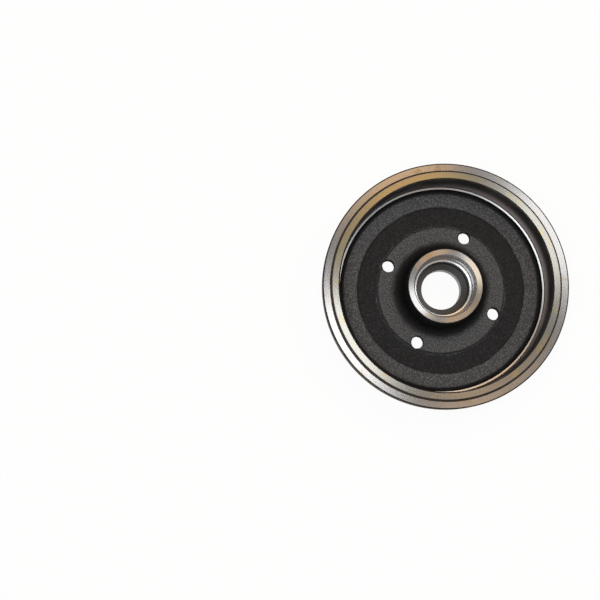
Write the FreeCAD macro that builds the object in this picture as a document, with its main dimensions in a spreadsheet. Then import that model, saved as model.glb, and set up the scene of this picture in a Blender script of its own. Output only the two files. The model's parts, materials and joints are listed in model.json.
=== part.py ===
import FreeCAD, Part
import Sketcher
import os
import re

# Rear brake drum for a small car, cast and turned in one piece with its wheel hub.
# Z is the axis of rotation and +Z points out of the open side. Z = 0 is the flat outer face that
# the road wheel seats on, and +X runs through one wheel bolt hole. Lengths are in millimetres.

SIZES = {
    # Heights are measured from the wheel face along the axis: the drum is this deep to its lip
    "drum_depth": 54.0,
    # Friction bore, from which the radial sizes of the wall, lip and rim are built outwards
    "friction_diameter": 180.0,
    "mouth_chamfer": 1.1,
    # Narrow ledge of cast iron that is left where the cut of the friction bore ends
    "ledge_width": 2.4,
    "ledge_rise": 0.9,
    # Wall of the drum, drafted towards the rim, and the edge of the wheel face at its foot
    "wall_thickness": 4.0,
    "wall_draft": 1.2,
    "wheel_face_chamfer": 0.8,
    # Lip that runs in the groove of the back plate, and the relief turned at its root
    "lip_wall": 6.3,
    "lip_length": 4.4,
    "lip_chamfer": 0.4,
    "relief_width": 1.7,
    "relief_depth": 0.8,
    # Rim ring that stiffens the open side, bevelled more on its face than on its back
    "rim_projection": 8.0,
    "rim_thickness": 16.6,
    "rim_root_radius": 6.0,
    "rim_face_chamfer": 1.5,
    "rim_back_chamfer": 0.7,
    # Web from the wall inwards: outer band, recessed ring, raised pad for the bolts
    "web_thickness": 9.6,
    "web_band_width": 14.4,
    "ring_recess": 1.4,
    "pad_rise": 3.8,
    "pad_margin": 4.4,
    "step_slope": 1.6,
    "step_radius": 0.6,
    "web_corner_radius": 3.0,
    # Bores from the open side, outwards from the inner bearing cup: cup, relief, oil seal
    "inner_cup_diameter": 45.24,
    "inner_cup_depth": 13.0,
    "cup_relief": 1.88,
    "hub_relief_depth": 6.0,
    "seal_step": 1.5,
    "seal_depth": 14.0,
    "seal_chamfer": 0.8,
    # Hub boss that stands inside the drum, around those bores
    "hub_height": 46.4,
    "hub_wall": 5.5,
    "hub_draft": 2.5,
    "hub_root_radius": 6.5,
    "hub_chamfer": 0.4,
    # Bores from the nose: outer bearing cup, its shoulder, and the seat of the grease cap
    "outer_cup_diameter": 39.88,
    "outer_cup_depth": 11.0,
    "shoulder_width": 2.74,
    "cap_step": 0.56,
    "cap_depth": 3.6,
    "cap_chamfer": 0.4,
    "cup_lead_chamfer": 0.5,
    # Nose outside: wheel spigot with an undercut at its root, then a cone to the end face
    "nose_length": 14.0,
    "nose_wall": 3.1,
    "nose_chamfer": 0.4,
    "spigot_diameter": 57.0,
    "spigot_length": 5.0,
    "spigot_step": 2.0,
    "spigot_chamfer": 0.8,
    "undercut_depth": 0.6,
    "undercut_width": 1.2,
    # Wheel bolt holes: tapping size, opened by a countersink on the wheel face
    "bolt_count": 4,
    "bolt_circle_diameter": 100.0,
    "bolt_hole_diameter": 10.4,
    "countersink_width": 1.8,
    "countersink_angle": 90.0,
}

# Radii that several features share, each worked out once from the sizes
FRICTION_RADIUS = "(friction_diameter / 2)"
CAST_RADIUS = "(friction_diameter / 2 - ledge_width)"
RING_RADIUS = f"({CAST_RADIUS} - web_band_width)"
PAD_RADIUS = "(bolt_circle_diameter / 2 + pad_margin)"
RING_FLOOR_WIDTH = f"({RING_RADIUS} - {PAD_RADIUS} - 2 * step_slope)"
WHEEL_FACE_RADIUS = "(friction_diameter / 2 + wall_thickness)"
WALL_HEAD_RADIUS = f"({WHEEL_FACE_RADIUS} + wall_draft)"
LIP_RADIUS = "(friction_diameter / 2 + lip_wall)"
RIM_RADIUS = f"({LIP_RADIUS} + rim_projection)"
INNER_CUP_RADIUS = "(inner_cup_diameter / 2)"
HUB_RELIEF_RADIUS = "(inner_cup_diameter / 2 + cup_relief)"
SEAL_RADIUS = f"({HUB_RELIEF_RADIUS} + seal_step)"
HUB_END_RADIUS = f"({SEAL_RADIUS} + hub_wall)"
HUB_ROOT_RADIUS = f"({HUB_END_RADIUS} + hub_draft)"
OUTER_CUP_RADIUS = "(outer_cup_diameter / 2)"
AXLE_RADIUS = "(outer_cup_diameter / 2 - shoulder_width)"
CAP_RADIUS = "(outer_cup_diameter / 2 + cap_step)"
NOSE_END_RADIUS = f"({CAP_RADIUS} + nose_wall)"
SPIGOT_RADIUS = "(spigot_diameter / 2)"
CONE_ROOT_RADIUS = "(spigot_diameter / 2 - spigot_step)"

# Heights that several features share
WHEEL_FACE = "0"
RIM_FACE = "(drum_depth - lip_length)"
RIM_BACK = "(drum_depth - lip_length - rim_thickness)"
RING_FLOOR = "(web_thickness - ring_recess)"
PAD_FACE = f"({RING_FLOOR} + pad_rise)"
FRICTION_FOOT = "(web_thickness + web_corner_radius + ledge_rise)"
SEAL_SHOULDER = "(hub_height - seal_depth)"
CUP_MOUTH = "(hub_height - seal_depth - hub_relief_depth)"
INNER_SHOULDER = f"({CUP_MOUTH} - inner_cup_depth)"
SPIGOT_END = "(-spigot_length)"
NOSE_END = "(-nose_length)"
CAP_SHOULDER = "(cap_depth - nose_length)"
OUTER_SHOULDER = "(cap_depth + outer_cup_depth - nose_length)"

# How close an edge has to lie to the place that names it, and a cut volume to the one expected
EDGE_TOLERANCE = 1e-4
VOLUME_TOLERANCE = 1.0

doc = FreeCAD.newDocument("brake_drum")
sheet = doc.addObject("Spreadsheet::Sheet", "Sizes")
for row, (alias, number) in enumerate(SIZES.items(), start=1):
    sheet.set(f"A{row}", alias)
    sheet.set(f"B{row}", str(number))
    sheet.setAlias(f"B{row}", alias)
doc.recompute()

body = doc.addObject("PartDesign::Body", "brake_drum")
body.Label = "brake_drum"


def linked(formula):
    """A formula of plain size names, as an expression that points at the sheet's cells."""
    return re.sub(r"[a-z]\w*", lambda word: "Sizes." + word[0] if word[0] in SIZES else word[0], formula)


def measure(formula):
    """What a formula comes to with the sizes as they are."""
    answer = body.evalExpression(linked(formula))
    return float(getattr(answer, "Value", answer))


def origin_feature(role):
    return next(feature for feature in body.Origin.OriginFeatures if feature.Role == role)


def half_section(name, corners):
    """A closed outline in the plane through the axis: (radius, height) formulas, in order."""
    sketch = body.newObject("Sketcher::SketchObject", name)
    sketch.AttachmentSupport = [(origin_feature("XZ_Plane"), "")]
    sketch.MapMode = "FlatFace"
    points = [FreeCAD.Vector(measure(radius), measure(height), 0) for radius, height in corners]
    count = len(points)
    for index in range(count):
        sketch.addGeometry(Part.LineSegment(points[index], points[(index + 1) % count]), False)
    for index in range(count):
        sketch.addConstraint(Sketcher.Constraint("Coincident", index, 2, (index + 1) % count, 1))
    for index, (radius, height) in enumerate(corners):
        pin_corner(sketch, index, "DistanceX", radius, points[index].x, -2)
        pin_corner(sketch, index, "DistanceY", height, points[index].y, -1)
    return sketch


def pin_corner(sketch, index, kind, formula, value, zero_axis):
    """Hold one corner of an outline at its formula, or on the axis where the formula is 0."""
    if formula == "0":
        sketch.addConstraint(Sketcher.Constraint("PointOnObject", index, 1, zero_axis))
        return
    number = sketch.addConstraint(Sketcher.Constraint(kind, -1, 1, index, 1, value))
    sketch.setExpression(f"Constraints[{number}]", linked(formula))


def turned(kind, name, corners):
    """Revolve an outline about the axis, as solid (Revolution) or as a cut (Groove)."""
    sketch = half_section(name + "_outline", corners)
    volume_before = body.Tip.Shape.Volume if body.Tip else 0
    feature = body.newObject("PartDesign::" + kind, name)
    feature.Profile = sketch
    feature.ReferenceAxis = (sketch, ["V_Axis"])
    feature.Angle = 360
    doc.recompute()
    change = feature.Shape.Volume - volume_before
    if (change > 0) != (kind == "Revolution") or change == 0:
        raise RuntimeError(f"{name} changed the volume by {change:.1f} mm3")
    return feature


def circle_names(circles):
    """Names of the body's circular edges about the axis at the given radii and heights."""
    names = []
    for radius_formula, height_formula in circles:
        radius, height = measure(radius_formula), measure(height_formula)
        found = [
            f"Edge{number}"
            for number, edge in enumerate(body.Tip.Shape.Edges, start=1)
            if isinstance(edge.Curve, Part.Circle)
            and abs(edge.Curve.Radius - radius) < EDGE_TOLERANCE
            and (edge.Curve.Center - FreeCAD.Vector(0, 0, height)).Length < EDGE_TOLERANCE
        ]
        if not found:
            raise RuntimeError(f"no edge at radius {radius_formula}, height {height_formula}")
        names += found
    return names


def eased(kind, name, amount, circles):
    """Round (Fillet) or bevel (Chamfer) the edges named by their radius and height."""
    base = body.Tip
    names = circle_names(circles)
    feature = body.newObject("PartDesign::" + kind, name)
    feature.Base = (base, names)
    feature.setExpression("Radius" if kind == "Fillet" else "Size", linked(amount))
    doc.recompute()
    return feature


# The casting: nose, wheel face, wall, rim ring, cast inside of the drum and hub boss, all solid
turned(
    "Revolution",
    "casting",
    [
        ("0", NOSE_END),
        (NOSE_END_RADIUS, NOSE_END),
        (CONE_ROOT_RADIUS, SPIGOT_END),
        (SPIGOT_RADIUS, SPIGOT_END),
        (SPIGOT_RADIUS, WHEEL_FACE),
        (WHEEL_FACE_RADIUS, WHEEL_FACE),
        (WALL_HEAD_RADIUS, RIM_BACK),
        (RIM_RADIUS, RIM_BACK),
        (RIM_RADIUS, RIM_FACE),
        (LIP_RADIUS, RIM_FACE),
        (LIP_RADIUS, "drum_depth"),
        (CAST_RADIUS, "drum_depth"),
        (CAST_RADIUS, "web_thickness"),
        (RING_RADIUS, "web_thickness"),
        (f"({RING_RADIUS} - step_slope)", RING_FLOOR),
        (f"({PAD_RADIUS} + step_slope)", RING_FLOOR),
        (PAD_RADIUS, PAD_FACE),
        (HUB_ROOT_RADIUS, PAD_FACE),
        (HUB_END_RADIUS, "hub_height"),
        ("0", "hub_height"),
    ],
)

# Rounds of the mould: web to wall, the steps of the web, hub root, and the cove under the rim
eased("Fillet", "web_corner", "web_corner_radius", [(CAST_RADIUS, "web_thickness")])
eased(
    "Fillet",
    "web_steps",
    f"min(step_radius; {RING_FLOOR_WIDTH} / 2)",
    [
        (RING_RADIUS, "web_thickness"),
        (f"({RING_RADIUS} - step_slope)", RING_FLOOR),
        (f"({PAD_RADIUS} + step_slope)", RING_FLOOR),
        (PAD_RADIUS, PAD_FACE),
    ],
)
eased("Fillet", "hub_root", "hub_root_radius", [(HUB_ROOT_RADIUS, PAD_FACE)])
eased("Fillet", "rim_root", "rim_root_radius", [(WALL_HEAD_RADIUS, RIM_BACK)])

# The brake shoes rub on this bore: its cut stops short of the web and leaves a flat ledge
turned(
    "Groove",
    "friction_bore",
    [
        (f"({CAST_RADIUS} - ledge_width)", FRICTION_FOOT),
        (FRICTION_RADIUS, FRICTION_FOOT),
        (FRICTION_RADIUS, "(drum_depth + mouth_chamfer)"),
        (f"({CAST_RADIUS} - ledge_width)", "(drum_depth + mouth_chamfer)"),
    ],
)

# Relief at the root of the lip, turned a little into the rim face
turned(
    "Groove",
    "lip_relief",
    [
        (LIP_RADIUS, f"({RIM_FACE} - relief_depth)"),
        (f"({LIP_RADIUS} + relief_width)", f"({RIM_FACE} - relief_depth)"),
        (f"({LIP_RADIUS} + relief_width)", f"({RIM_FACE} + relief_depth)"),
        (LIP_RADIUS, f"({RIM_FACE} + relief_depth)"),
    ],
)

# Undercut at the root of the spigot, into the spigot and into the face, so that the wheel seats flat
turned(
    "Groove",
    "spigot_undercut",
    [
        (f"({SPIGOT_RADIUS} - undercut_depth)", "(-undercut_width)"),
        (f"({SPIGOT_RADIUS} + undercut_width)", "(-undercut_width)"),
        (f"({SPIGOT_RADIUS} + undercut_width)", "undercut_depth"),
        (f"({SPIGOT_RADIUS} - undercut_depth)", "undercut_depth"),
    ],
)

# One stepped bore from end to end: seal seat, relief, inner cup seat with its shoulder, axle bore,
# outer cup seat with its shoulder, grease cap seat
turned(
    "Groove",
    "hub_bore",
    [
        ("0", "(hub_height + seal_chamfer)"),
        (SEAL_RADIUS, "(hub_height + seal_chamfer)"),
        (SEAL_RADIUS, SEAL_SHOULDER),
        (HUB_RELIEF_RADIUS, SEAL_SHOULDER),
        (HUB_RELIEF_RADIUS, CUP_MOUTH),
        (INNER_CUP_RADIUS, CUP_MOUTH),
        (INNER_CUP_RADIUS, INNER_SHOULDER),
        (AXLE_RADIUS, INNER_SHOULDER),
        (AXLE_RADIUS, OUTER_SHOULDER),
        (OUTER_CUP_RADIUS, OUTER_SHOULDER),
        (OUTER_CUP_RADIUS, CAP_SHOULDER),
        (CAP_RADIUS, CAP_SHOULDER),
        (CAP_RADIUS, "(-nose_length - cap_chamfer)"),
        ("0", "(-nose_length - cap_chamfer)"),
    ],
)

# Turned edges are bevelled, and the leads into the cups no further than half of the step beside them
eased("Chamfer", "mouth_edge", "mouth_chamfer", [(FRICTION_RADIUS, "drum_depth")])
eased("Chamfer", "lip_edge", "lip_chamfer", [(LIP_RADIUS, "drum_depth")])
eased("Chamfer", "rim_face_edge", "rim_face_chamfer", [(RIM_RADIUS, RIM_FACE)])
eased("Chamfer", "rim_back_edge", "rim_back_chamfer", [(RIM_RADIUS, RIM_BACK)])
eased("Chamfer", "wheel_face_edge", "wheel_face_chamfer", [(WHEEL_FACE_RADIUS, WHEEL_FACE)])
eased("Chamfer", "hub_edge", "hub_chamfer", [(HUB_END_RADIUS, "hub_height")])
eased("Chamfer", "seal_lead", "seal_chamfer", [(SEAL_RADIUS, "hub_height")])
eased("Chamfer", "inner_cup_lead", "min(cup_lead_chamfer; cup_relief / 2)", [(INNER_CUP_RADIUS, CUP_MOUTH)])
eased("Chamfer", "relief_lead", "min(cup_lead_chamfer; seal_step / 2)", [(HUB_RELIEF_RADIUS, SEAL_SHOULDER)])
eased("Chamfer", "outer_cup_lead", "min(cup_lead_chamfer; cap_step / 2)", [(OUTER_CUP_RADIUS, CAP_SHOULDER)])
eased("Chamfer", "cap_lead", "cap_chamfer", [(CAP_RADIUS, NOSE_END)])
eased("Chamfer", "nose_edge", "nose_chamfer", [(NOSE_END_RADIUS, NOSE_END)])
eased("Chamfer", "spigot_edge", "spigot_chamfer", [(SPIGOT_RADIUS, SPIGOT_END)])

# One wheel bolt hole, drilled through from the wheel face, then repeated about the axis
hole_centre = body.newObject("Sketcher::SketchObject", "bolt_hole_centre")
hole_centre.AttachmentSupport = [(origin_feature("XY_Plane"), "")]
hole_centre.MapMode = "FlatFace"
pitch_radius = measure("bolt_circle_diameter / 2")
hole_radius = measure("bolt_hole_diameter / 2")
hole_centre.addGeometry(
    Part.Circle(FreeCAD.Vector(pitch_radius, 0, 0), FreeCAD.Vector(0, 0, 1), hole_radius),
    False,
)
hole_centre.addConstraint(Sketcher.Constraint("PointOnObject", 0, 3, -1))
pitch_constraint = hole_centre.addConstraint(Sketcher.Constraint("DistanceX", -1, 1, 0, 3, pitch_radius))
hole_centre.setExpression(f"Constraints[{pitch_constraint}]", linked("bolt_circle_diameter / 2"))
drill_constraint = hole_centre.addConstraint(Sketcher.Constraint("Diameter", 0, 2 * hole_radius))
hole_centre.setExpression(f"Constraints[{drill_constraint}]", linked("bolt_hole_diameter"))
doc.recompute()

solid_volume = body.Tip.Shape.Volume
bolt_hole = body.newObject("PartDesign::Hole", "bolt_hole")
bolt_hole.Profile = hole_centre
doc.recompute()
bolt_hole.Reversed = True
bolt_hole.DepthType = "ThroughAll"
bolt_hole.HoleCutType = "Countersink"
bolt_hole.HoleCutCustomValues = True
bolt_hole.setExpression("Diameter", linked("bolt_hole_diameter"))
bolt_hole.setExpression("HoleCutDiameter", linked("bolt_hole_diameter + 2 * countersink_width"))
bolt_hole.setExpression("HoleCutCountersinkAngle", linked("countersink_angle"))
doc.recompute()
one_hole_volume = solid_volume - bolt_hole.Shape.Volume
if one_hole_volume <= 0:
    raise RuntimeError("the bolt hole cut nothing")

bolt_holes = body.newObject("PartDesign::PolarPattern", "bolt_holes")
bolt_holes.Originals = [bolt_hole]
bolt_holes.Axis = (origin_feature("Z_Axis"), [""])
bolt_holes.Angle = 360
bolt_holes.setExpression("Occurrences", linked("bolt_count"))
body.Tip = bolt_holes
doc.recompute()
drilled = solid_volume - bolt_holes.Shape.Volume
if abs(drilled - measure("bolt_count") * one_hole_volume) > VOLUME_TOLERANCE:
    raise RuntimeError(f"the bolt holes cut {drilled:.1f} mm3")

for item in doc.Objects:
    if "Invalid" in item.State or "Error" in item.State:
        raise RuntimeError(f"{item.Name} failed: {item.State}")
if body.Shape.isNull() or not body.Shape.isValid() or len(body.Shape.Solids) != 1:
    raise RuntimeError("the drum is not one valid solid")

os.makedirs("parts", exist_ok=True)
body.Shape.exportStep(os.path.join("parts", body.Label + ".step"))
box = body.Shape.optimalBoundingBox()
print(f"{body.Label}: {body.Shape.Volume / 1000:.1f} cm3, X {box.XMin:.2f} to {box.XMax:.2f},", end=" ")
print(f"Y {box.YMin:.2f} to {box.YMax:.2f}, Z {box.ZMin:.2f} to {box.ZMax:.2f}")
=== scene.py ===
import json
import math
from collections import namedtuple

import bpy
from mathutils import Matrix, Vector


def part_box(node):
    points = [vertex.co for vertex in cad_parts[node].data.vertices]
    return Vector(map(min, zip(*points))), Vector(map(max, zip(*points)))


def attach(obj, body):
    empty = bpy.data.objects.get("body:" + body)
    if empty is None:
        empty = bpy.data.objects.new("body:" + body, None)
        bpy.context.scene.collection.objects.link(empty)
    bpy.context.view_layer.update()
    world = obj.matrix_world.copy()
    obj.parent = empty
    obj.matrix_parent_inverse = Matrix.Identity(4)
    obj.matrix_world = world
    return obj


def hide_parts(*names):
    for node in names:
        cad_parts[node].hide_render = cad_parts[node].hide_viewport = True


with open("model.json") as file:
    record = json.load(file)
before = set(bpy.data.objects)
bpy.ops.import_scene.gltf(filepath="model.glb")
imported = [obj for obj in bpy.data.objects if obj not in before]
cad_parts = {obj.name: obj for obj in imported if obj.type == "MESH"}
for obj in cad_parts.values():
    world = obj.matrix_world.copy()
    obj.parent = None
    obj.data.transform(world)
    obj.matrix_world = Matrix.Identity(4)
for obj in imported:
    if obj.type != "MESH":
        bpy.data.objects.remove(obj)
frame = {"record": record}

bpy.context.view_layer.update()
cad_low, cad_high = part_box("brake_drum")

# The camera looks down into the open side of the drum, which lies right of the picture's middle and
# leans a little towards the bottom of the picture.
scene = bpy.context.scene
scene.view_settings.view_transform = "Standard"
lip_height = cad_high.z
lip_centre_seen = Vector((0.1234, 0.0127, -1.303))
axis_seen = Vector((0.02583, 0.09573, 0.99507)).normalized()
bolt_hole_turn = math.radians(24.5)

across_seen = (Vector((1, 0, 0)) - axis_seen.x * axis_seen).normalized()
up_seen = axis_seen.cross(across_seen)
drum_x = math.cos(bolt_hole_turn) * across_seen - math.sin(bolt_hole_turn) * up_seen
drum_y = math.sin(bolt_hole_turn) * across_seen + math.cos(bolt_hole_turn) * up_seen
wheel_face_centre = lip_centre_seen - lip_height * axis_seen
drum_in_camera = Matrix((drum_x, drum_y, axis_seen)).transposed().to_4x4()
drum_in_camera.translation = wheel_face_centre

camera = bpy.data.objects.new("camera", bpy.data.cameras.new("camera"))
camera.data.sensor_width = 36.0
camera.data.lens = 93.0
camera.matrix_world = drum_in_camera.inverted()
scene.collection.objects.link(camera)
scene.camera = camera


# The casting: grey iron, poured in a sand mould as one piece with the wheel hub. The inside of the
# web and the outside of the hub are left as cast, and all the rest is turned on a lathe.
mm = 0.001
mounts = {mount["name"]: mount for mount in frame["record"]["mounts"]}


def bore_radius(name):
    return mounts[name]["dims"]["r_mm"]


# Finishes, by the number that each face of the mesh carries
AS_CAST, TURNED, LIPPED, HUB_END, FACED, BORED, SEATED, RUBBED = range(8)
WALL_SIDE, RIM_SIDE, EDGED, TAPPED = range(8, 12)

# Radii from the axis and heights over the wheel face, in mm
seal_radius = bore_radius("seal_seat")
relief_radius = 24.5
inner_cup_radius = bore_radius("inner_bearing_seat")
axle_radius = bore_radius("axle_bore")
outer_cup_radius = bore_radius("outer_bearing_seat")
cap_radius = bore_radius("cap_seat")
spigot_radius = bore_radius("wheel_spigot")
friction_radius = bore_radius("friction_surface")
nose_end = cad_low.z / mm
lip_face = cad_high.z / mm
rim_radius = cad_high.x / mm
lip_radius = friction_radius + 6.3
groove_radius = lip_radius + 1.7
corner_radius = friction_radius - 0.45
cast_radius = friction_radius - 2.4
ring_radius = cast_radius - 14.4
pad_radius = mounts["wheel_bolts"]["dims"]["pcd_mm"] / 2 + 4.4
step_run = 1.6
rim_face, rim_back = lip_face - 4.4, lip_face - 21.0
groove_floor = rim_face - 0.8
wheel_face_radius, wall_radius_at_rim = 94.0, 95.2
nose_radius, cone_radius, spigot_end = 23.6, 26.5, -5.0
undercut_inner, undercut_outer = spigot_radius - 0.6, spigot_radius + 1.2
undercut_start, undercut_floor = -1.2, 0.6
ledge, web, ring_floor, pad = 13.5, 9.6, 8.2, 12.0
hub_foot_radius, hub_end_radius, hub_face = 34.0, 31.5, 46.4
seal_shoulder, cup_mouth, inner_shoulder = hub_face - 14.0, hub_face - 20.0, hub_face - 33.0
outer_shoulder, cap_shoulder = nose_end + 14.6, nose_end + 3.6

# Half section of the drum, once round: radius, height, how the corner is eased, finish to the next.
# An eased corner may name a finish of its own.
section = [
    (cap_radius, nose_end, ("bevel", 0.4), TURNED),
    (nose_radius, nose_end, ("bevel", 0.4), WALL_SIDE),
    (cone_radius, spigot_end, None, TURNED),
    (spigot_radius, spigot_end, ("bevel", 0.8), TURNED),
    (spigot_radius, undercut_start, None, TURNED),
    (undercut_inner, undercut_start, None, TURNED),
    (undercut_inner, undercut_floor, None, TURNED),
    (undercut_outer, undercut_floor, None, TURNED),
    (undercut_outer, 0.0, ("bevel", 0.15), FACED),
    (wheel_face_radius, 0.0, ("bevel", 0.8, FACED), WALL_SIDE),
    (wall_radius_at_rim, rim_back, ("round", 6.0), FACED),
    (rim_radius, rim_back, ("bevel", 0.7, RIM_SIDE), RIM_SIDE),
    # The edged bevels and the relief groove are coloured nearly black as painted shade.
    (rim_radius, rim_face, ("bevel", 1.1, EDGED), TURNED),
    (groove_radius, rim_face, ("bevel", 0.12, EDGED), EDGED),
    (groove_radius, groove_floor, None, EDGED),
    (lip_radius, groove_floor, None, EDGED),
    (lip_radius, lip_face, ("bevel", 0.4), LIPPED),
    (friction_radius, lip_face, ("bevel", 1.1, RUBBED), RUBBED),
    # The foot of the friction bore and the outer 0.45 mm of the ledge share its finish, which is dark
    # there as painted shade in the corner.
    (friction_radius, ledge, None, RUBBED),
    (corner_radius, ledge, None, FACED),
    (cast_radius, ledge, ("bevel", 0.5, AS_CAST), AS_CAST),
    (cast_radius, web, ("round", 3.0), AS_CAST),
    (ring_radius, web, ("round", 0.6), AS_CAST),
    (ring_radius - step_run, ring_floor, ("round", 0.6), AS_CAST),
    (pad_radius + step_run, ring_floor, ("round", 0.6), AS_CAST),
    (pad_radius, pad, ("round", 0.6), AS_CAST),
    (hub_foot_radius, pad, ("round", 6.5), AS_CAST),
    (hub_end_radius, hub_face, ("bevel", 0.4), HUB_END),
    (seal_radius, hub_face, ("bevel", 0.8), BORED),
    (seal_radius, seal_shoulder, None, TURNED),
    (relief_radius, seal_shoulder, ("bevel", 0.5), BORED),
    (relief_radius, cup_mouth, None, FACED),
    (inner_cup_radius, cup_mouth, ("bevel", 0.5), SEATED),
    (inner_cup_radius, inner_shoulder, None, SEATED),
    (axle_radius, inner_shoulder, ("bevel", 0.2), TURNED),
    (axle_radius, outer_shoulder, ("bevel", 0.2), TURNED),
    (outer_cup_radius, outer_shoulder, None, BORED),
    (outer_cup_radius, cap_shoulder, ("bevel", 0.28), TURNED),
    (cap_radius, cap_shoulder, None, BORED),
]


def eased_corner(before, corner, after, ease):
    """Points that stand for one corner: the corner itself, its bevel, or its round."""
    if ease is None:
        return [corner]
    kind, size = ease[:2]
    back, ahead = (before - corner).normalized(), (after - corner).normalized()
    if kind == "bevel":
        return [corner + back * size, corner + ahead * size]
    half_angle = back.angle(ahead) / 2
    centre = corner + (back + ahead).normalized() * size / math.sin(half_angle)
    start = corner + back * size / math.tan(half_angle)
    end = corner + ahead * size / math.tan(half_angle)
    steps = max(2, round(size * 1.6) + 2)
    arc = [start.lerp(end, step / steps) - centre for step in range(steps + 1)]
    return [centre + spoke.normalized() * size for spoke in arc]


def section_points(corners, cast_step, turned_step):
    """The outline as points, no further apart than the steps, each with the finish of what follows."""
    places = [Vector((radius, height)) for radius, height, _, _ in corners]
    count = len(corners)
    drawn = []
    for index, (_, _, ease, finish) in enumerate(corners):
        eased = eased_corner(places[index - 1], places[index], places[(index + 1) % count], ease)
        corner_finish = finish if ease and ease[0] == "round" else TURNED
        if ease and len(ease) > 2:
            corner_finish = ease[2]
        drawn += [(place, corner_finish) for place in eased[:-1]] + [(eased[-1], finish)]
    filled = []
    for index, (place, finish) in enumerate(drawn):
        following = drawn[(index + 1) % len(drawn)][0]
        step = cast_step if finish == AS_CAST else turned_step
        pieces = max(1, math.ceil((following - place).length / step))
        filled += [(place.lerp(following, piece / pieces), finish) for piece in range(pieces)]
    return filled


points = section_points(section, cast_step=1.3, turned_step=12.0)
finishes = [finish for _, finish in points]
outline = bpy.data.meshes.new("half_section")
ring = [(index, (index + 1) % len(points)) for index in range(len(points))]
outline.from_pydata([(place.x * mm, 0, place.y * mm) for place, _ in points], ring, [])
outline.attributes.new("finish", "INT", "POINT")
outline.attributes.new("sand", "FLOAT", "POINT")
outline.attributes["finish"].data.foreach_set("value", finishes)
for index, sanded in enumerate(outline.attributes["sand"].data):
    around = [finishes[(index + offset) % len(finishes)] for offset in (-2, -1, 0, 1)]
    sanded.value = around.count(AS_CAST) // len(around)
drum = bpy.data.objects.new("drum", outline)
scene.collection.objects.link(drum)


class Tree:
    """A node tree being drawn up: one call adds a node, its settings first and then its sockets."""

    def __init__(self, tree):
        self.tree = tree

    def node(self, kind, settings=None, **sockets):
        made = self.tree.nodes.new(kind)
        for name, value in (settings or {}).items():
            setattr(made, name, value)
        for name, value in sockets.items():
            self.feed(self.socket(made.inputs, name), value)
        return made

    @staticmethod
    def socket(sockets, name):
        """A socket by its name in lower case with underscores, or by its number after 'at'."""
        if name.startswith("at") and name[2:].isdigit():
            return sockets[int(name[2:])]
        wanted = name.replace("_", " ").lower()
        return next(one for one in sockets if one.name.lower() == wanted and one.enabled)

    def feed(self, socket, value):
        if isinstance(value, Value):
            value = value.socket
        if isinstance(value, bpy.types.NodeSocket):
            self.tree.links.new(value, socket)
        else:
            socket.default_value = value

    def out(self, kind, settings=None, **sockets):
        """The first output of a new node."""
        return Value(self, self.node(kind, settings, **sockets).outputs[0])


class Value:
    """A value in a node tree. Adding, taking away, multiplying or dividing it adds a Math node."""

    def __init__(self, tree, socket):
        self.tree, self.socket = tree, socket

    def _math(self, operation, first, second=0.0):
        return self.tree.out("ShaderNodeMath", {"operation": operation}, at0=first, at1=second)

    def __add__(self, other):
        return self._math("ADD", self, other)

    def __radd__(self, other):
        return self._math("ADD", other, self)

    def __sub__(self, other):
        return self._math("SUBTRACT", self, other)

    def __rsub__(self, other):
        return self._math("SUBTRACT", other, self)

    def __mul__(self, other):
        return self._math("MULTIPLY", self, other)

    def __rmul__(self, other):
        return self._math("MULTIPLY", other, self)

    def __truediv__(self, other):
        return self._math("DIVIDE", self, other)

    def __rtruediv__(self, other):
        return self._math("DIVIDE", other, self)

    def __mod__(self, other):
        return self._math("FLOORED_MODULO", self, other)

    def __pow__(self, other):
        return self._math("POWER", self, other)

    def floor(self):
        return self._math("FLOOR", self)

    def sine(self):
        return self._math("SINE", self)

    def cosine(self):
        return self._math("COSINE", self)

    def least(self, other):
        return self._math("MINIMUM", self, other)

    def most(self, other):
        return self._math("MAXIMUM", self, other)

    def size(self):
        return self._math("ABSOLUTE", self)

    def between(self, low, high):
        """0 below low, 1 above high, smooth in between. Low may be the larger one."""
        return self.tree.out(
            "ShaderNodeMapRange",
            {"interpolation_type": "SMOOTHSTEP"},
            value=self, from_min=low, from_max=high, to_min=0.0, to_max=1.0,
        )


def shape_tree(name, sizes):
    """A new Geometry Nodes tree with an input for each size, the shape it is given, and the sizes."""
    group = bpy.data.node_groups.new(name, "GeometryNodeTree")
    group.interface.new_socket("Geometry", in_out="INPUT", socket_type="NodeSocketGeometry")
    for label, value in sizes.items():
        kind = "NodeSocketInt" if isinstance(value, int) else "NodeSocketFloat"
        group.interface.new_socket(label, in_out="INPUT", socket_type=kind)
    group.interface.new_socket("Geometry", in_out="OUTPUT", socket_type="NodeSocketGeometry")
    tree = Tree(group)
    given = tree.node("NodeGroupInput")
    return tree, given.outputs[0], {label: Value(tree, given.outputs[label]) for label in sizes}


def grow(piece, tree, shape, sizes):
    """Run a tree that ends in this shape on a piece, and keep the result as its own plain mesh."""
    tree.node("NodeGroupOutput", geometry=shape)
    modifier = piece.modifiers.new(tree.tree.name, "NODES")
    modifier.node_group = tree.tree
    for item in tree.tree.interface.items_tree:
        if item.in_out == "INPUT" and item.name in sizes:
            modifier[item.identifier] = sizes[item.name]
    bpy.context.view_layer.update()
    evaluated = piece.evaluated_get(bpy.context.evaluated_depsgraph_get())
    mesh = bpy.data.meshes.new_from_object(evaluated)
    piece.modifiers.remove(modifier)
    piece.data = mesh


FULL_TURN = 2 * math.pi


def wound(tree, rows, columns):
    """A sheet of rows by columns, and the row and the angle round Z that each of its points goes to."""
    sheet = tree.node(
        "GeometryNodeMeshGrid", size_x=1.0, size_y=1.0, vertices_x=rows + 1, vertices_y=columns + 1
    )
    index = tree.out("GeometryNodeInputIndex")
    row = (index / (columns + 1)).floor()
    angle = (index % (columns + 1)) * FULL_TURN / columns
    return tree.out("GeometryNodeFlipFaces", mesh=sheet.outputs[0]), row, angle


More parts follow.
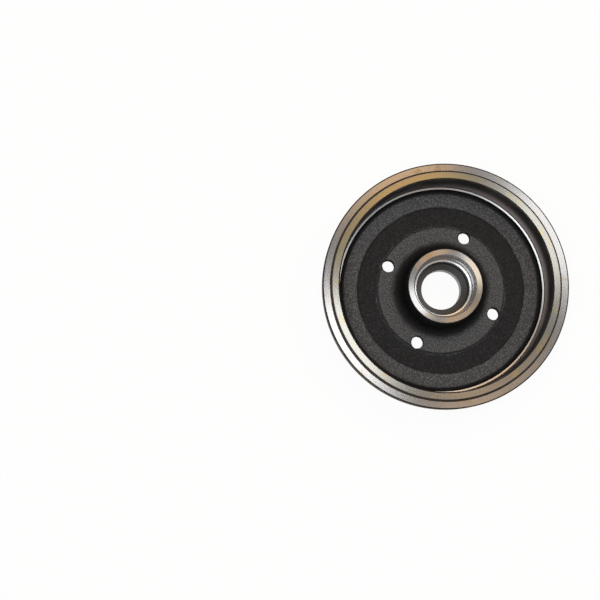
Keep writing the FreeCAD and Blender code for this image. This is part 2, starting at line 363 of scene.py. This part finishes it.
# Turning: the half section goes once round the axis, and the sand of the mould leaves its skin uneven
turned_sizes = {"Steps": 360, "Unevenness": 0.45 * mm, "Patch size": 5.0 * mm}
turning, given, size = shape_tree("turn_section", turned_sizes)
point_count = turning.out("GeometryNodeAttributeDomainSize", {"component": "MESH"}, geometry=given)
sheet, row, angle = wound(turning, point_count, size["Steps"])
on_section = row % point_count
outline_place = turning.out(
    "GeometryNodeSampleIndex",
    {"data_type": "FLOAT_VECTOR", "domain": "POINT"},
    geometry=given,
    value=turning.out("GeometryNodeInputPosition"),
    index=on_section,
)
split = turning.node("ShaderNodeSeparateXYZ", vector=outline_place)
reach, height = Value(turning, split.outputs[0]), Value(turning, split.outputs[2])
sand = turning.out(
    "GeometryNodeSampleIndex",
    {"data_type": "FLOAT", "domain": "POINT"},
    geometry=given,
    value=turning.out("GeometryNodeInputNamedAttribute", {"data_type": "FLOAT"}, name="sand"),
    index=on_section,
)
turned_place = turning.out(
    "ShaderNodeCombineXYZ", x=reach * angle.cosine(), y=reach * angle.sine(), z=height
)
turned_sheet = turning.out("GeometryNodeSetPosition", geometry=sheet, position=turned_place)
finish_here = turning.out(
    "GeometryNodeSampleIndex",
    {"data_type": "INT", "domain": "POINT"},
    geometry=given,
    value=turning.out("GeometryNodeInputNamedAttribute", {"data_type": "INT"}, name="finish"),
    index=(turning.out("GeometryNodeInputIndex") / size["Steps"]).floor(),
)
marked = turning.out(
    "GeometryNodeStoreNamedAttribute",
    {"data_type": "INT", "domain": "FACE"},
    geometry=turned_sheet, name="finish", value=finish_here,
)
closed = turning.out("GeometryNodeMergeByDistance", geometry=marked, distance=0.002 * mm)
patches = turning.out(
    "ShaderNodeTexNoise",
    {"noise_dimensions": "3D"},
    vector=turning.out("GeometryNodeInputPosition"),
    scale=1 / size["Patch size"], detail=3.0, roughness=0.6,
)
swell = (patches - 0.5) * sand * size["Unevenness"]
lift = turning.out(
    "ShaderNodeVectorMath",
    {"operation": "SCALE"},
    vector=turning.out("GeometryNodeInputNormal"),
    scale=swell,
)
uneven = turning.out("GeometryNodeSetPosition", geometry=closed, offset=lift)
grow(drum, turning, uneven, turned_sizes)


# Turned iron: rim ring, lip, hub end and steps. The tool leaves fine rings round the axis, which
# stretch every reflection across them, and a thin film of oil has dried on them in places. On one side
# of the lip and of the hub's end the same warm colour is laid on in full as a painted warm reflection.

# A spot on the drum: which way it lies from the axis, and its radius and height in mm
Spot = namedtuple("Spot", "east north radius height")


def iron(name, anisotropy, metallic=1.0):
    """A new iron: its material, tree and shader, object coordinates, and the spot they stand for."""
    material = bpy.data.materials.new(name)
    material.use_nodes = True
    tree = Tree(material.node_tree)
    shader = material.node_tree.nodes["Principled BSDF"]
    shader.inputs["Anisotropic"].default_value = anisotropy
    shader.inputs["Anisotropic Rotation"].default_value = 0.25
    shader.inputs["Metallic"].default_value = metallic
    place = tree.node("ShaderNodeTexCoord").outputs["Object"]
    split = tree.node("ShaderNodeSeparateXYZ", vector=place)
    x, y, z = (Value(tree, socket) for socket in split.outputs)
    radius = (x * x + y * y) ** 0.5
    return material, tree, shader, place, Spot(x / radius, y / radius, radius / mm, z / mm)


def noise(tree, vector, patch, detail=2.0, roughness=0.55):
    """A number from 0 to 1 that drifts from patch to patch of this size."""
    return tree.out("ShaderNodeTexNoise", {"noise_dimensions": "3D"},
                    vector=vector, scale=1 / patch, detail=detail, roughness=roughness)


def tool_rings(tree, spot, pitch, sweep=1.2):
    """Rings that the lathe tool leaves: quick changes across them, slow ones along them."""
    across = tree.out(
        "ShaderNodeCombineXYZ", x=spot.radius / pitch, y=spot.height / pitch, z=spot.east * sweep
    )
    return tree.out("ShaderNodeTexNoise", {"noise_dimensions": "4D"},
                    vector=across, w=spot.north * sweep, scale=1.0, detail=3.0, roughness=0.7)


def mixed(tree, share, first, second, blend="MIX"):
    """Two colours mixed. The node's colour sockets share their names, so they go by number."""
    made = tree.node("ShaderNodeMix", {"data_type": "RGBA", "blend_type": blend})
    for number, value in ((0, share), (6, first), (7, second)):
        tree.feed(made.inputs[number], value)
    return Value(tree, made.outputs[2])


def grey(tree, value):
    """A colour with this value in all three channels."""
    return tree.out("ShaderNodeCombineColor", red=value, green=value, blue=value)


def towards(spot, picture_angle):
    """1 on the side of the drum that lies at this angle in the picture, -1 on the other side."""
    angle = math.radians(picture_angle) + bolt_hole_turn
    return spot.east * math.cos(angle) + spot.north * math.sin(angle)


def turned_finish(name, clean, stain_and_reflection_colour, roughness, anisotropy, pitch, stain_share, painted_reflection_side=None):
    """Turned iron with tool rings of this pitch, in mm, and a film of oil that stains part of it.
    Towards a given side the stain colour is laid on in full as a painted warm reflection.
    """
    material, tree, shader, place, spot = iron(name, anisotropy)
    rings = tool_rings(tree, spot, pitch)
    oil_film_and_reflection = noise(tree, place, 11 * mm, detail=4.0).between(0.72 - stain_share, 0.80 - stain_share / 2)
    # Towards the given side: a painted warm reflection, in the stain colour.
    if painted_reflection_side is not None:
        oil_film_and_reflection = (oil_film_and_reflection + towards(spot, painted_reflection_side).between(0.45, 0.9)).least(1)
    specks = noise(tree, place, 2.8 * mm, detail=3.0).between(0.66, 0.74)
    stained_and_reflecting_tone = mixed(tree, (oil_film_and_reflection * 0.5 + specks * oil_film_and_reflection).least(1), clean, stain_and_reflection_colour)
    tone = grey(tree, rings * 0.4 + 0.78)
    tree.feed(shader.inputs["Base Color"], mixed(tree, 1.0, stained_and_reflecting_tone, tone, "MULTIPLY"))
    tree.feed(shader.inputs["Roughness"], roughness - 0.04 + rings * 0.08 + oil_film_and_reflection * 0.06)
    bump = tree.node("ShaderNodeBump", strength=0.1, distance=0.02 * mm, height=rings)
    tree.feed(shader.inputs["Normal"], bump.outputs[0])
    return material


turned_iron = turned_finish(
    "turned_iron", (0.18, 0.176, 0.172, 1), (0.19, 0.14, 0.08, 1),
    roughness=0.26, anisotropy=0.98, pitch=0.28, stain_share=0.16,
)
# A painted warm reflection on one side of the lip.
lip_iron = turned_finish(
    "lip_iron", (0.154, 0.148, 0.134, 1), (0.225, 0.183, 0.075, 1),
    roughness=0.26, anisotropy=0.98, pitch=0.28, stain_share=0.2, painted_reflection_side=122,
)
# A painted warm reflection on one side of the hub's end.
hub_end_iron = turned_finish(
    "hub_end_iron", (0.18, 0.176, 0.172, 1), (0.19, 0.135, 0.07, 1),
    roughness=0.26, anisotropy=0.98, pitch=0.28, stain_share=0.16, painted_reflection_side=8,
)


# Wheel face and the back of the rim: faced with a finer tool, so brighter, with light scratches from
# handling that run any way across the rings.
faced_iron, tree, shader, place, spot = iron("faced_iron", anisotropy=0.92)
rings = tool_rings(tree, spot, pitch=0.22)
scratch_marks = 0.0
scratch_width, scratch_depth = 0.6 * mm, 20 * mm
for turn, length in ((0.5, 30 * mm), (1.7, 22 * mm), (2.6, 26 * mm)):
    along_scratch = tree.out(
        "ShaderNodeMapping", {"vector_type": "TEXTURE"},
        vector=place, rotation=(0, 0, turn), scale=(length, scratch_width, scratch_depth),
    )
    scratch_marks = scratch_marks + noise(tree, along_scratch, 1.0, detail=0.0).between(0.80, 0.84)
haze = noise(tree, place, 20 * mm, detail=3.0)
bright = mixed(tree, haze * 0.6 + rings * 0.4, (0.52, 0.52, 0.52, 1), (0.38, 0.38, 0.385, 1))
scratched = mixed(tree, (scratch_marks * 0.4).least(1), bright, (0.68, 0.68, 0.68, 1))
tree.feed(shader.inputs["Base Color"], scratched)
tree.feed(shader.inputs["Roughness"], 0.26 + rings * 0.12)
bump = tree.node("ShaderNodeBump", strength=0.2, distance=0.015 * mm, height=rings)
tree.feed(shader.inputs["Normal"], bump.outputs[0])


# Bored seats of the oil seal, the bearing cups and the grease cap: bored smooth to a close fit. The
# seat of the inner bearing and its shoulder, deep in the bore, are coloured nearly black as painted
# shade.
bored_iron = turned_finish(
    "bored_iron", (0.08, 0.08, 0.08, 1), (0.06, 0.05, 0.04, 1),
    roughness=0.3, anisotropy=0.6, pitch=0.2, stain_share=0.08,
)
# Nearly black: painted shade deep in the bore.
shaded_seat_iron = turned_finish(
    "shaded_seat_iron", (0.028, 0.027, 0.027, 1), (0.024, 0.020, 0.016, 1),
    roughness=0.36, anisotropy=0.5, pitch=0.2, stain_share=0.08,
)


# Friction bore: fine turned for the brake shoes, with a thin film of oil that dulls it. Its colour is
# darker towards the mouth, darker still in the corner at the foot as painted shade, and lighter on one
# side as painted light.
rubbed_iron, tree, shader, place, spot = iron("rubbed_iron", anisotropy=0.6, metallic=0.35)
shader.inputs["Specular IOR Level"].default_value = 0.2
shader.inputs["Specular Tint"].default_value = (0.4, 0.38, 0.36, 1)
rings = tool_rings(tree, spot, pitch=0.35)
# Lighter on one side of the drum: painted light.
painted_lit_side = towards(spot, 22).between(0.3, 0.95)
below_mouth = spot.height.between(lip_face - 14.0, ledge + 4.5)
# Darker in the corner at the foot of the wall: painted shade.
above_shaded_corner = spot.height.between(ledge + 1.1, ledge + 4.0)
bare_and_lit_share = below_mouth * above_shaded_corner * (painted_lit_side * 0.85 + 0.22)
bare_and_lit_share = (bare_and_lit_share + noise(tree, place, 20 * mm) * 0.3 - 0.15).least(1).most(0)
oil_and_painted_light_tone = mixed(tree, bare_and_lit_share, (0.022, 0.021, 0.020, 1), (0.45, 0.385, 0.365, 1))
ring_tone = grey(tree, rings * 0.5 + 0.72)
tree.feed(shader.inputs["Base Color"], mixed(tree, 1.0, oil_and_painted_light_tone, ring_tone, "MULTIPLY"))
tree.feed(shader.inputs["Roughness"], 0.38 + rings * 0.14)
bump = tree.node("ShaderNodeBump", strength=0.25, distance=0.02 * mm, height=rings)
tree.feed(shader.inputs["Normal"], bump.outputs[0])


# Outer side of the wall and rim ring: turned in coarse passes, with a brown film of oil in places. The
# rim ring's side is coloured dark brown as painted shade, and its edges and relief groove nearly black
# as painted shade.
wall_side_iron = turned_finish(
    "wall_side_iron", (0.17, 0.156, 0.142, 1), (0.147, 0.130, 0.113, 1),
    roughness=0.34, anisotropy=0.8, pitch=0.5, stain_share=0.2,
)
# Dark brown: painted shade on the side of the rim ring.
shaded_rim_side_iron = turned_finish(
    "shaded_rim_side_iron", (0.066, 0.048, 0.034, 1), (0.050, 0.036, 0.025, 1),
    roughness=0.42, anisotropy=0.6, pitch=0.5, stain_share=0.24,
)
# Nearly black: painted shade on the rim's edges and in its relief groove.
shaded_edge_iron = turned_finish(
    "shaded_edge_iron", (0.036, 0.028, 0.021, 1), (0.024, 0.017, 0.012, 1),
    roughness=0.42, anisotropy=0.5, pitch=0.5, stain_share=0.3,
)
for shaded_iron in (shaded_rim_side_iron, shaded_edge_iron):
    shader = shaded_iron.node_tree.nodes["Principled BSDF"]
    shader.inputs["Metallic"].default_value = 0.3
    shader.inputs["Specular IOR Level"].default_value = 0.1
    shader.inputs["Specular Tint"].default_value = (0.3, 0.24, 0.18, 1)


# Skin of the casting on the web and hub: sand grain, dark with casting scale. The recessed ring is
# darker than the pad and the outer band, which are greyer. The foot of the hub and the corner under
# the ledge are coloured black as painted shade.
cast_skin, tree, shader, place, spot = iron("cast_skin", anisotropy=0.0, metallic=0.0)
shader.inputs["Specular IOR Level"].default_value = 0.1
grain = noise(tree, place, 1.1 * mm, detail=3.0, roughness=0.65)
pores = tree.out(
    "ShaderNodeTexVoronoi", {"feature": "F1"}, vector=place, scale=1 / (1.2 * mm), randomness=1.0
)
worn_grain = grain.between(0.44, 0.66)
edge_drift = noise(tree, place, 12 * mm) * 2.0 - 1.0
drifted = spot.radius + edge_drift
# The pad's lighter colour runs a little way down the step from it, as painted light against the step's
# shade.
off_pad = drifted.between(pad_radius + 0.8, pad_radius + 2.8)
off_outer_band = drifted.between(ring_radius + 0.6, ring_radius - 1.4)
# Painted shade: black round the foot of the hub and in the corner under the ledge.
painted_shade_by_hub = (spot.radius + edge_drift * 1.5).between(hub_foot_radius + 10.5, hub_foot_radius + 4.5)
painted_shade_under_ledge = (spot.radius + edge_drift * 0.4).between(cast_radius - 4.4, cast_radius - 2.2)
dark_scale, grey_scale = (0.012, 0.012, 0.0125, 1), (0.140, 0.143, 0.150, 1)
ground = mixed(tree, worn_grain * 0.6 + 0.24, dark_scale, grey_scale)
ring_ground = mixed(tree, worn_grain * 0.3, (0.0105, 0.0108, 0.0115, 1), (0.048, 0.049, 0.052, 1))
shaded = mixed(tree, off_pad * off_outer_band, ground, ring_ground)
painted_shade_ground = mixed(tree, worn_grain * 0.4, (0.0035, 0.0035, 0.0035, 1), (0.018, 0.018, 0.018, 1))
tree.feed(shader.inputs["Base Color"], mixed(tree, painted_shade_by_hub.most(painted_shade_under_ledge), shaded, painted_shade_ground))
tree.feed(shader.inputs["Roughness"], 0.72 - worn_grain * 0.18)
bump = tree.node("ShaderNodeBump", strength=0.65, distance=0.16 * mm, height=grain * 0.8 + pores * 0.2)
tree.feed(shader.inputs["Normal"], bump.outputs[0])


# Wheel bolt holes: drilled through the web from the wheel face, countersunk there, and tapped with a
# fine metric thread for their whole depth. One cutter stands on each place of the bolt circle.
tapped_iron = turned_finish(
    "tapped_iron", (0.06, 0.057, 0.055, 1), (0.04, 0.03, 0.02, 1),
    roughness=0.35, anisotropy=0.3, pitch=0.3, stain_share=0.2,
)
bolts = mounts["wheel_bolts"]["dims"]
drilled_sizes = {
    "Holes": bolts["count"],
    "Circle radius": bolts["pcd_mm"] / 2 * mm,
    "Drill radius": bolts["hole_r_mm"] * mm,
    "Sink radius": (bolts["hole_r_mm"] + 1.8) * mm,
    "Lead-in": 0.5 * mm,
    "Pitch": 1.5 * mm,
    "Thread depth": 0.78 * mm,
    "Length": 16.5 * mm,
}
drilling, given, size = shape_tree("drill_and_tap", drilled_sizes)
levels, sides = 97, 40
sheet, row, angle = wound(drilling, levels + 2, sides)
level = (row - 1).most(0).least(levels)
height = level * (size["Length"] / levels) - size["Pitch"]
turn = (height / size["Pitch"] - angle / FULL_TURN) % 1
flank = 1 - (turn * 2 - 1).size()
root_flat = 1.25
thread = size["Drill radius"] + size["Thread depth"] * (flank * root_flat).least(1)
sink = size["Sink radius"] - height.most(0 - size["Lead-in"])
closed_ends = row.least(levels + 2 - row).least(1)
reach = thread.most(sink) * closed_ends
place = drilling.out("ShaderNodeCombineXYZ", x=reach * angle.cosine(), y=reach * angle.sine(), z=height)
shell = drilling.out("GeometryNodeSetPosition", geometry=sheet, position=place)
tapped_shell = drilling.out(
    "GeometryNodeStoreNamedAttribute", {"data_type": "INT", "domain": "FACE"},
    geometry=shell, name="finish", value=TAPPED,
)
cutter = drilling.out("GeometryNodeMergeByDistance", geometry=tapped_shell, distance=0.002 * mm)
places = drilling.out(
    "GeometryNodeMeshCircle", vertices=size["Holes"], radius=size["Circle radius"]
)
cutters = drilling.out(
    "GeometryNodeRealizeInstances",
    geometry=drilling.out("GeometryNodeInstanceOnPoints", points=places, instance=cutter),
)
drilled = drilling.node(
    "GeometryNodeMeshBoolean", {"operation": "DIFFERENCE", "solver": "MANIFOLD"}
)
drilling.feed(drilled.inputs[0], given)
drilling.feed(drilled.inputs[1], cutters)
finished = drilling.out("GeometryNodeRealizeInstances", geometry=drilled.outputs[0])
here = drilling.out("GeometryNodeInputNamedAttribute", {"data_type": "INT"}, name="finish")
for finish, material in (
    (AS_CAST, cast_skin), (TURNED, turned_iron), (LIPPED, lip_iron), (HUB_END, hub_end_iron),
    (FACED, faced_iron), (BORED, bored_iron), (SEATED, shaded_seat_iron), (RUBBED, rubbed_iron),
    (WALL_SIDE, wall_side_iron), (RIM_SIDE, shaded_rim_side_iron), (EDGED, shaded_edge_iron), (TAPPED, tapped_iron),
):
    chosen = drilling.out(
        "FunctionNodeCompare", {"data_type": "INT", "operation": "EQUAL"}, a=here, b=finish
    )
    finished = drilling.out(
        "GeometryNodeSetMaterial", geometry=finished, selection=chosen, material=material
    )
grow(drum, drilling, finished, drilled_sizes)
drum.data.shade_smooth()
drum.data.set_sharp_from_angle(angle=math.radians(28))
drum.data.attributes.remove(drum.data.attributes["finish"])
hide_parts("brake_drum")
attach(drum, "root")


# Studio: a white floor that keeps a faint shadow and is clear from below, an even white sky, and soft
# lamps: white ones towards the picture's upper right and lower left and under the drum, and warm ones
# towards its top and its bottom.
def seen_white(tree, plain, white):
    """The plain shader for light, and the white one for what the camera or a reflection sees."""
    path = tree.node("ShaderNodeLightPath")
    seen = Value(tree, path.outputs["Is Camera Ray"]).most(Value(tree, path.outputs["Is Glossy Ray"]))
    seen = seen.most(Value(tree, path.outputs["Is Transmission Ray"]))
    return tree.out("ShaderNodeMixShader", at0=seen, at1=plain, at2=white)


floor_paper = bpy.data.materials.new("floor_paper")
floor_paper.use_nodes = True
floor_paper.node_tree.nodes.clear()
tree = Tree(floor_paper.node_tree)
paper = tree.out("ShaderNodeBsdfDiffuse", color=(0.85, 0.85, 0.85, 1))
glow = tree.out("ShaderNodeEmission", color=(1, 1, 1, 1), strength=1.0)
shadowed = tree.out("ShaderNodeMixShader", at0=0.93, at1=paper, at2=glow)
from_below = Value(tree, tree.node("ShaderNodeNewGeometry").outputs["Backfacing"])
lit_through = from_below.most(Value(tree, tree.node("ShaderNodeLightPath").outputs["Is Shadow Ray"]))
clear = tree.out("ShaderNodeBsdfTransparent")
floor_shader = tree.out(
    "ShaderNodeMixShader", at0=lit_through, at1=seen_white(tree, paper, shadowed), at2=clear
)
tree.node("ShaderNodeOutputMaterial", surface=floor_shader)
floor_mesh = bpy.data.meshes.new("floor")
half_width = 6.0
corners = [(x * half_width, y * half_width, cad_low.z) for x, y in ((-1, -1), (1, -1), (1, 1), (-1, 1))]
floor_mesh.from_pydata(corners, [], [(0, 1, 2, 3)])
floor = bpy.data.objects.new("floor", floor_mesh)
floor_mesh.materials.append(floor_paper)
scene.collection.objects.link(floor)

world = bpy.data.worlds.new("studio")
scene.world = world
world.use_nodes = True
world.node_tree.nodes.clear()
tree = Tree(world.node_tree)
sky = tree.out("ShaderNodeBackground", color=(1, 1, 1, 1), strength=0.4)
white_sky = tree.out("ShaderNodeBackground", color=(1, 1, 1, 1), strength=1.0)
tree.node("ShaderNodeOutputWorld", surface=seen_white(tree, sky, white_sky))


def softbox(name, picture_angle, lean, size, power, colour, distance=1.5):
    """A square lamp that faces the drum: its angle as the picture shows it, its lean from the axis."""
    angle = math.radians(picture_angle) + bolt_hole_turn
    lean = math.radians(lean)
    away = Vector((math.cos(angle) * math.sin(lean), math.sin(angle) * math.sin(lean), math.cos(lean)))
    lamp = bpy.data.objects.new(name, bpy.data.lights.new(name, "AREA"))
    lamp.data.shape = "SQUARE"
    lamp.data.size = size
    lamp.data.energy = power
    lamp.data.color = colour
    lamp.location = away * distance
    lamp.rotation_euler = away.to_track_quat("Z", "Y").to_euler()
    scene.collection.objects.link(lamp)


softbox("white_lamp", picture_angle=31, lean=22, size=0.34, power=3.3, colour=(1.0, 0.99, 0.98))
softbox("left_lamp", picture_angle=204, lean=11, size=0.47, power=10.5, colour=(0.96, 0.98, 1.0))
softbox("warm_lamp", picture_angle=92, lean=21, size=0.42, power=3.6, colour=(1.0, 0.54, 0.15))
softbox("under_lamp", picture_angle=20, lean=155, size=0.6, power=5.0, colour=(1.0, 1.0, 1.0))
softbox("low_warm_lamp", picture_angle=304, lean=15, size=0.3, power=0.6, colour=(1.0, 0.6, 0.3))

bpy.context.view_layer.update()
